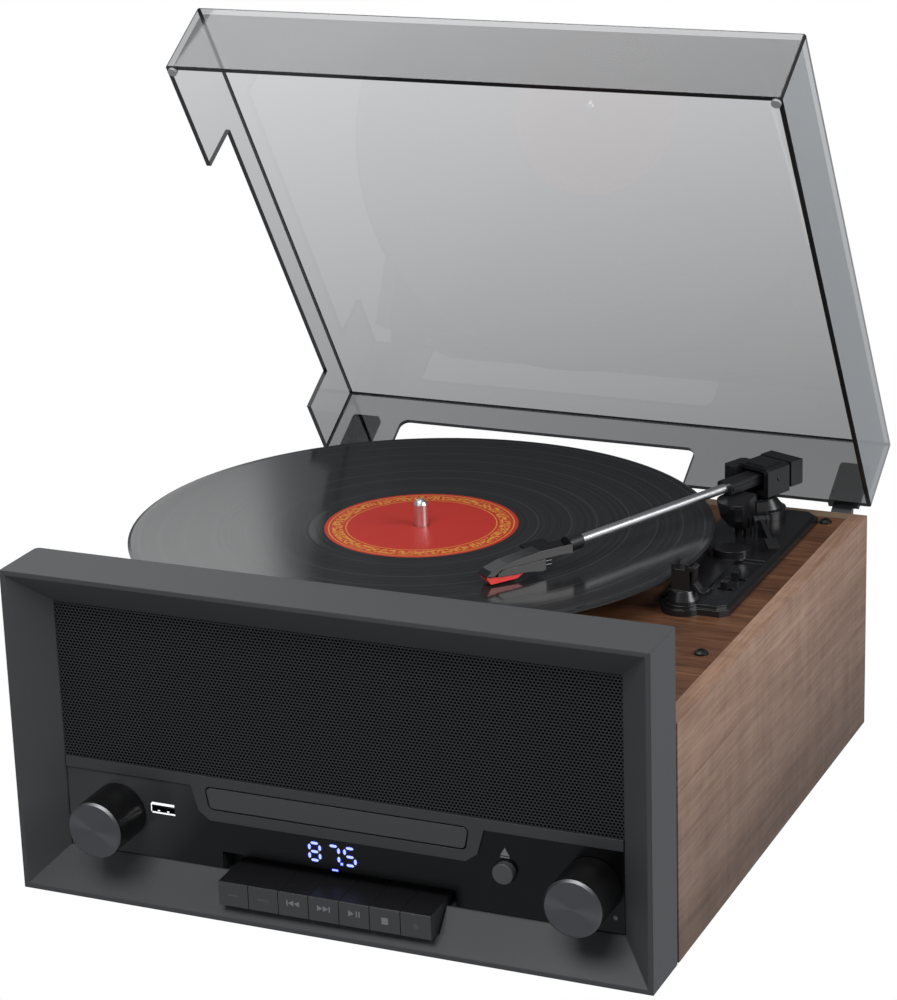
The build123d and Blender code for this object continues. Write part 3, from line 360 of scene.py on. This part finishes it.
def record_vinyl():
    """Fine grooves, gaps between the tracks painted lighter as a painted reflection, and a red
    label with a gold border of plain marks.
    """
    t = Tree("record_vinyl")
    x, y, z = t.split(t.coords())
    r, dx, dy = t.distance(x, y, REC_X, REC_Y)
    ring = t.vector(t.both(r, 1000.0))
    bands = t.noise(ring, 0.55, 3, 0.6)
    grooves = t.noise(ring, 3.2, 2, 0.5)
    gaps = 0.0
    for gap_r in TRACK_GAPS:
        gaps = t.math("ADD", gaps, t.near(r, gap_r, TRACK_GAP_HALF))
    color = t.ramp(bands, [(0.3, lin(20, 20, 21)), (0.7, lin(40, 40, 41))])
    # Painted reflection: the gaps between the tracks take a lighter colour.
    color = t.mix(t.both(gaps, 0.6), color, lin(54, 54, 55))
    vinyl = t.bsdf(
        color,
        t.scale_add(bands, 0.08, 0.10),
        Anisotropic=0.45,
        Tangent=t.round_tangent("Z"),
        Specular_IOR_Level=0.55,
        Normal=t.bump(grooves, 0.05, 0.0001),
    )
    border = t.both(t.math("GREATER_THAN", r, 0.0405), t.math("LESS_THAN", r, 0.0462))
    turn = t.both(t.math("ARCTAN2", dy, dx), 26.0)
    ticks = t.noise(t.vector(turn, t.both(r, 520.0)), 1.0, 1, 0.5)
    marks = t.both(border, t.math("GREATER_THAN", ticks, 0.5))
    lines = t.math("MAXIMUM", t.near(r, 0.0478, 0.00035), t.near(r, 0.0389, 0.00030))
    color = t.mix(t.math("MAXIMUM", marks, lines), lin(158, 36, 27), lin(176, 122, 44))
    color = t.mix(t.math("LESS_THAN", r, 0.0045), color, lin(120, 30, 24))
    label = t.bsdf(color, 0.5, Specular_IOR_Level=0.3)
    on_top = t.math("GREATER_THAN", z, REC_TOP - 0.0003)
    is_label = t.both(t.math("LESS_THAN", r, LABEL_R), on_top)
    return t.done(t.blend(is_label, vinyl, label))


def knob_finish(name, knob_x):
    """Black side and a spun metal cap."""
    t = Tree(name + "_finish")
    x, y, z = t.split(t.coords())
    r = t.distance(x, z, knob_x, KNOB_Z)[0]
    is_cap = t.both(t.math("LESS_THAN", y, CAP_FRONT), t.math("LESS_THAN", r, CAP_R))
    spun = t.noise(t.vector(t.both(r, 1000.0)), 3.5, 3, 0.6)
    cap = t.bsdf(
        lin(92, 93, 95),
        0.33,
        Metallic=0.9,
        Anisotropic=0.85,
        Tangent=t.round_tangent("Y"),
        Normal=t.bump(spun, 0.12, 0.0001),
    )
    side = t.bsdf(lin(13, 13, 14), 0.3, Specular_IOR_Level=0.5)
    return t.done(t.blend(is_cap, side, cap))


def tube_finish():
    """Bright tube between a black sleeve and a black collar."""
    t = Tree("tube_finish")
    x, y, z = t.split(t.coords())
    over_x = t.both(t.math("SUBTRACT", x, PIVOT_X), -math.cos(ARM_HEADING))
    over_y = t.both(t.math("SUBTRACT", y, PIVOT_Y), math.sin(ARM_HEADING))
    s = t.math("SUBTRACT", over_x, over_y)
    bare = t.both(t.math("GREATER_THAN", s, TUBE_FROM), t.math("LESS_THAN", s, TUBE_TO))
    tube = t.bsdf(lin(232, 233, 235), 0.3, Metallic=1.0)
    sleeve = t.bsdf(lin(20, 20, 22), 0.35, Normal=t.soft_edges(0.0004))
    return t.done(t.blend(bare, sleeve, tube))


def lid_smoke():
    """Tinted clear walls, with painted shade in the tint: darker low down, towards the right and in
    the walls facing nearest up or down; also darker where seen along the surface.
    """
    t = Tree("lid_smoke")
    weight = t.add("ShaderNodeLayerWeight")
    weight.inputs["Blend"].default_value = 0.5
    facing = weight.outputs["Facing"]
    geometry = t.add("ShaderNodeNewGeometry")
    upright = t.math("ABSOLUTE", t.split(geometry.outputs["True Normal"])[2])
    # Painted shade: walls facing nearest up or down get a darker tint.
    painted_shade_wall = t.math("GREATER_THAN", upright, 0.7)
    shade = t.scale_add(painted_shade_wall, -0.27, 1.0)
    shade = t.scale_add(t.math("POWER", facing, 2.0), -0.10, shade)
    # Painted shade: the tint darkens lower down and towards the right.
    x, y, z = t.split(t.coords())
    painted_shade_fade = t.add("ShaderNodeMapRange")
    t.put(painted_shade_fade.inputs["Value"], t.scale_add(z, 1.05, t.both(x, -0.32)))
    for i, v in enumerate((0.12, 0.43, 0.54, 0.82), 1):
        painted_shade_fade.inputs[i].default_value = v
    level = t.both(painted_shade_fade.outputs[0], shade)
    tint = t.add("ShaderNodeCombineColor")
    for i, v in enumerate((0.985, 0.992, 1.0)):
        t.put(tint.inputs[i], t.both(level, v))
    clear = t.add("ShaderNodeBsdfTransparent")
    t.put(clear.inputs[0], tint.outputs[0])
    gloss = t.add("ShaderNodeBsdfAnisotropic")
    gloss.inputs["Color"].default_value = (1, 1, 1, 1)
    gloss.inputs["Roughness"].default_value = 0.02
    outside = t.math("SUBTRACT", 1.0, geometry.outputs["Backfacing"])
    shine = t.scale_add(t.math("POWER", facing, 4.0), 1.6, 0.032)
    return t.done(t.blend(t.both(shine, outside), clear.outputs[0], gloss.outputs[0]))


def dress_lid():
    """Smoke on the walls, and an opaque dark colour on the cut faces of the rim, the notches and
    the cut-out, and as painted shade on the bends.
    """
    lid = nodes["lid"].data
    lid.materials.clear()
    lid.materials.append(lid_smoke())
    lid.materials.append(plain("lid_edge", (24, 25, 26), 0.25))
    hinge = Vector((ORIGIN[0], HINGE_Y + ORIGIN[1], HINGE_Z))
    up = Vector((0, math.sin(LID_OPEN), math.cos(LID_OPEN)))
    back = Vector((0, math.cos(LID_OPEN), -math.sin(LID_OPEN)))
    side = Vector((1, 0, 0))
    for p in lid.polygons:
        n = p.normal
        c = p.center - hinge
        above = c.dot(up) - RIM_ABOVE_HINGE
        behind = c.dot(back) + REAR_PAST_HINGE
        along_up, along_back, along_side = (abs(n.dot(way)) for way in (up, back, side))
        # The bends take the dark edge colour as painted shade.
        painted_shade_bend = max(along_up, along_back, along_side) < 0.985
        rim = n.dot(up) < -0.9 and above < RIM_REACH
        at_notch = abs(c.x) > SIDE_WALL_X and NOTCH_FROM < behind < NOTCH_TO
        notch = along_back > 0.9 and at_notch
        cut = along_side > 0.5 and abs(c.x) < REAR_CUT_X
        p.material_index = 1 if (rim or notch or cut or painted_shade_bend) else 0


# Wood and board
top_tones = (lin(46, 27, 16), lin(76, 48, 31), lin(104, 70, 48))
side_tones = (lin(104, 76, 61), lin(126, 98, 81), lin(146, 118, 101))
use(wood("wood_top", top_tones, 0, 30), "top_deck")
wood_side = wood("wood_side", side_tones, 1, 9, 0.35, 0.47, 0.5)
use(wood_side, "side_panel_left", "side_panel_right")
use(plain("fibreboard", (96, 78, 60), 0.8), "bottom_panel", "rear_panel")

# Front
frame_paint = plain("frame_paint", (60, 61, 63), 0.5, 0.0009, 0.06, Specular_IOR_Level=0.35)
use(frame_paint, "front_frame")
use(plain("panel_plastic", (46, 47, 49), 0.45, 0.0005, 0.05), "control_panel")
use(plain("door_plastic", (56, 57, 59), 0.42, 0.0005, 0.05), "cd_tray_front")
use(inlay_gloss(), "gloss_inlay")
use(grille_perforated(), "speaker_grille")
use(plain("display_glass", (10, 10, 12), 0.15), "led_display")
use(plain("eject_plastic", (66, 67, 69), 0.45, 0.0003), "eject_button")
use(key_plastic(), *("key_" + key for key in KEYS))
for knob, knob_x in KNOB_X.items():
    use(knob_finish(knob, knob_x), knob)

# Black plastic
black = plain("black_plastic", (20, 20, 22), 0.26, 0.0004, Specular_IOR_Level=0.6)
use(black, "cd_tray", "cd_drive", "cd_hub", "rear_sockets", "drive_motor", "arm_base_plate")
use(black, "arm_rest", "rest_clip", "cue_lever", "lift_platform", "speed_switch", "autostop_switch")
use(black, "pivot_turret", "pivot_housing", "counterweight", "hinge_leaf_left", "hinge_leaf_right")
black_shiny = plain("black_shiny", (10, 10, 11), 0.15, 0.0004, Specular_IOR_Level=0.6)
use(black_shiny, "headshell", "cartridge", "usb_socket")

# Rubber, metal and the pieces inside
use(plain("rubber", (18, 18, 18), 0.75), "feet", "platter_mat", "drive_belt")
use(plain("bumper_clear", (150, 151, 153), 0.3), "lid_bumpers")
dark_steel = plain("dark_steel", (30, 30, 31), 0.3, 0.0002, Metallic=0.5)
use(dark_steel, "deck_screws", "hinge_bracket_left", "hinge_bracket_right")
bright_steel = plain("bright_steel", (240, 240, 242), 0.3, 0.0002, Metallic=1.0)
use(bright_steel, "spindle", "motor_pulley")
use(plain("board_green", (24, 92, 54), 0.4), "control_board", "main_board")
use(plain("brass", (190, 150, 80), 0.3, Metallic=1.0), "bearing_bush")
use(plain("cone", (34, 34, 34), 0.8), "speaker_left", "speaker_right")
use(plain("platter_grey", (46, 46, 48), 0.4), "platter")

# Record, arm and lid
use(record_vinyl(), "record")
use(tube_finish(), "arm_tube")
use(plain("stylus_red", (214, 34, 20), 0.25, 0.0003), "stylus")
dress_lid()


def plate(name, polys, mat, body, y):
    """Flat polygons of x, z pairs at depth y, facing the front."""
    verts = []
    faces = []
    for poly in polys:
        faces.append(list(range(len(verts), len(verts) + len(poly))))
        verts += [(px + ORIGIN[0], y + ORIGIN[1], pz) for px, pz in poly]
    me = bpy.data.meshes.new(name)
    me.from_pydata(verts, [], faces)
    me.materials.append(mat)
    ob = bpy.data.objects.new(name, me)
    scene.collection.objects.link(ob)
    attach(ob, body)


def rect(cx, cz, w, h):
    x0, x1 = cx - w / 2, cx + w / 2
    z0, z1 = cz - h / 2, cz + h / 2
    return [(x0, z0), (x1, z0), (x1, z1), (x0, z1)]


def circle(cx, cz, r, n=24):
    turns = [2 * math.pi * i / n for i in range(n)]
    return [(cx + r * math.cos(a), cz + r * math.sin(a)) for a in turns]


def arrow(cx, cz, w, h, way):
    """Triangle that points right where way is 1, left where it is -1."""
    tail = cx - way * w / 2
    return [(tail, cz - h / 2), (cx + way * w / 2, cz), (tail, cz + h / 2)]


LIT = {"8": "abcdefg", "7": "abc", "5": "afgcd"}


def segment(a, b, q, level):
    """Pointed bar from a to b, 2 q wide, level or upright."""
    (xa, za), (xb, zb) = a, b
    if level:
        return [a, (xa + q, za - q), (xb - q, zb - q), b, (xb - q, zb + q), (xa + q, za + q)]
    return [a, (xa + q, za + q), (xb + q, zb - q), b, (xb - q, zb - q), (xa - q, za + q)]


def digit(ch, x0, stroke):
    """Lit segments of a seven-segment digit, whose letters run clockwise from the top."""
    q = stroke / 2
    end = stroke * 0.02 + q
    x1 = x0 + DIGIT_W
    z0 = DIGIT_Z
    mid = DIGIT_Z + DIGIT_H / 2
    z1 = DIGIT_Z + DIGIT_H
    spots = {
        "a": ((x0 + end, z1), (x1 - end, z1), True),
        "b": ((x1, mid + end), (x1, z1 - end), False),
        "c": ((x1, z0 + end), (x1, mid - end), False),
        "d": ((x0 + end, z0), (x1 - end, z0), True),
        "e": ((x0, z0 + end), (x0, mid - end), False),
        "f": ((x0, mid + end), (x0, z1 - end), False),
        "g": ((x0 + end, mid), (x1 - end, mid), True),
    }
    out = []
    for letter in LIT[ch]:
        a, b, level = spots[letter]
        out.append(segment(a, b, q, level))
    return out


def reading(stroke, point, bar):
    """The digits with their point, of side point, and the band's mark, bar wide and high."""
    shapes = []
    for ch, x0 in DIGITS:
        shapes += digit(ch, x0, stroke)
    shapes.append(rect(0.0024, DIGIT_Z + 0.0001, point, point))
    shapes.append(rect(-0.0012, DIGIT_Z - 0.0036, *bar))
    return shapes


led_glow = glowing("led_halo", (0.01, 0.03, 0.9), 1.0)
led_core = glowing("led_blue", (0.40, 0.48, 1.0), 1.6)
glow_shapes = reading(GLOW_STROKE, 0.0019, (0.0036, 0.0014))
lit_shapes = reading(STROKE, 0.0012, (0.0030, 0.0008))
plate("led_digits_glow", glow_shapes, led_glow, "cabinet", PANEL_FRONT - GLOW_OFF)
plate("led_digits", lit_shapes, led_core, "cabinet", PANEL_FRONT - LIT_OFF)

# Marks on the inlay, and the USB shell's painted highlight
print_grey = plain("print_grey", (112, 113, 116), 0.6)
print_dim = plain("print_dim", (70, 71, 74), 0.6)
# Painted highlight: the metal shell of the USB socket is drawn white and glowing.
usb_glint_white = plain(
    "usb_glint_white", (250, 250, 252), 0.5, Emission_Color=(1, 1, 1, 1), Emission_Strength=0.55
)
eject_shapes = [
    [(EJECT_X - 0.0023, EJECT_Z), (EJECT_X + 0.0023, EJECT_Z), (EJECT_X, EJECT_Z + 0.0040)],
    rect(EJECT_X, EJECT_Z - 0.0008, 0.0046, 0.0007),
]
plate("eject_mark", eject_shapes, print_grey, "cabinet", PANEL_FRONT - MARK_OFF)
shell_shapes = [
    rect(USB_X + 0.0002, USB_Z + 0.0022, 0.0122, 0.0013),
    rect(USB_X + 0.0004, USB_Z - 0.0024, 0.0124, 0.0008),
    rect(USB_X - 0.0062, USB_Z, 0.0005, 0.0042),
    rect(USB_X - 0.0022, USB_Z - 0.0013, 0.0012, 0.0006),
    rect(USB_X + 0.0028, USB_Z - 0.0013, 0.0012, 0.0006),
]
plate("usb_shell", shell_shapes, usb_glint_white, "cabinet", PANEL_FRONT + SHELL_BEHIND)
dot = [circle(DOT_X, DOT_Z, 0.0011)]
plate("max_dot", dot, print_grey, "cabinet", PANEL_FRONT - MARK_OFF)


def skip_mark(x, z, way):
    """Two arrows and a bar before them, pointing right where way is 1, left where it is -1."""
    arrows = [arrow(x + way * at, z, 0.0028, 0.0030, way) for at in (0.0012, -0.0018)]
    return [rect(x + way * 0.0031, z, 0.0007, 0.0030), *arrows]


def key_mark(key, x):
    z = KEY_MARK_Z
    if key == "previous":
        return skip_mark(x, z + 0.001, -1)
    if key == "next":
        return skip_mark(x, z + 0.001, 1)
    if key == "play":
        bars = [rect(x + at, z + 0.001, 0.0007, 0.0030) for at in (0.0013, 0.0027)]
        return [arrow(x - 0.0014, z + 0.001, 0.0030, 0.0032, 1), *bars]
    if key == "stop":
        return [rect(x, z, 0.0034, 0.0034)]
    if key == "record":
        return [circle(x, z, 0.0013)]
    return [rect(x, z, 0.0062, 0.0009)]


for i, key in enumerate(KEYS):
    key_x = KEY_MID_X + (i - 3) * KEY_PITCH
    ink = print_dim if key in ("power", "source", "record") else print_grey
    plate("mark_" + key, key_mark(key, key_x), ink, "k_" + key, KEY_FACE)


def studio_world():
    """White behind the object, dim light from above and a pale floor below."""
    world = bpy.data.worlds.new("world")
    scene.world = world
    world.use_nodes = True
    tree = world.node_tree
    tree.nodes.clear()
    link = tree.links.new
    add = tree.nodes.new
    way = add("ShaderNodeTexCoord")
    height = add("ShaderNodeSeparateXYZ")
    link(way.outputs["Generated"], height.inputs[0])
    strength = add("ShaderNodeMapRange")
    link(height.outputs["Z"], strength.inputs["Value"])
    for i, v in enumerate((-0.2, 0.1, 0.50, 0.20), 1):
        strength.inputs[i].default_value = v
    lighting = add("ShaderNodeBackground")
    lighting.inputs["Color"].default_value = (0.9, 0.95, 1.0, 1)
    link(strength.outputs[0], lighting.inputs["Strength"])
    backdrop = add("ShaderNodeBackground")
    backdrop.inputs["Color"].default_value = (1, 1, 1, 1)
    backdrop.inputs["Strength"].default_value = 1.0
    choice = add("ShaderNodeMixShader")
    link(add("ShaderNodeLightPath").outputs["Is Camera Ray"], choice.inputs[0])
    link(lighting.outputs[0], choice.inputs[1])
    link(backdrop.outputs[0], choice.inputs[2])
    link(choice.outputs[0], add("ShaderNodeOutputWorld").inputs[0])


def area(name, loc, target, width, depth, watts):
    light = bpy.data.lights.new(name, "AREA")
    light.shape = "RECTANGLE"
    light.size = width
    light.size_y = depth
    light.energy = watts
    ob = bpy.data.objects.new(name, light)
    ob.location = (loc[0] + ORIGIN[0], loc[1] + ORIGIN[1], loc[2])
    ob.rotation_euler = (Vector(target) - Vector(loc)).to_track_quat("-Z", "Y").to_euler()
    scene.collection.objects.link(ob)


def camera():
    """Solved from the record, the frame, the cabinet and the lid in the photo."""
    data = bpy.data.cameras.new("camera")
    data.sensor_fit = "AUTO"
    data.sensor_width = SENSOR
    data.lens = FOCAL_PX * SENSOR / PICTURE_PX
    data.clip_end = 20.0
    ob = bpy.data.objects.new("camera", data)
    scene.collection.objects.link(ob)
    forward = Vector(CAM_FORWARD).normalized()
    right = Vector(CAM_RIGHT).normalized()
    turn = Matrix((right, right.cross(forward), -forward)).transposed()
    place = Vector(CAM_PLACE) + Vector((*ORIGIN, 0.0))
    ob.matrix_world = Matrix.Translation(place) @ turn.to_4x4()
    scene.camera = ob


studio_world()
area("top_soft", (-0.3, 0.35, 1.9), (0, 0.17, 0.1), 1.5, 1.3, 19)
area("right_soft", (1.8, 0.1, 1.0), (0.1, 0.15, 0.08), 1.2, 1.0, 35)
area("back_left", (-1.3, 1.5, 1.1), (-0.05, 0.2, 0.13), 1.0, 0.8, 3)
area("front_top", (0.0, -1.4, 2.0), (0, 0.0, 0.08), 1.4, 0.9, 36)
area("front_fill", (-0.7, -2.2, 0.7), (0, 0.0, 0.08), 1.2, 0.8, 3.5)
camera()
scene.view_settings.view_transform = "Standard"
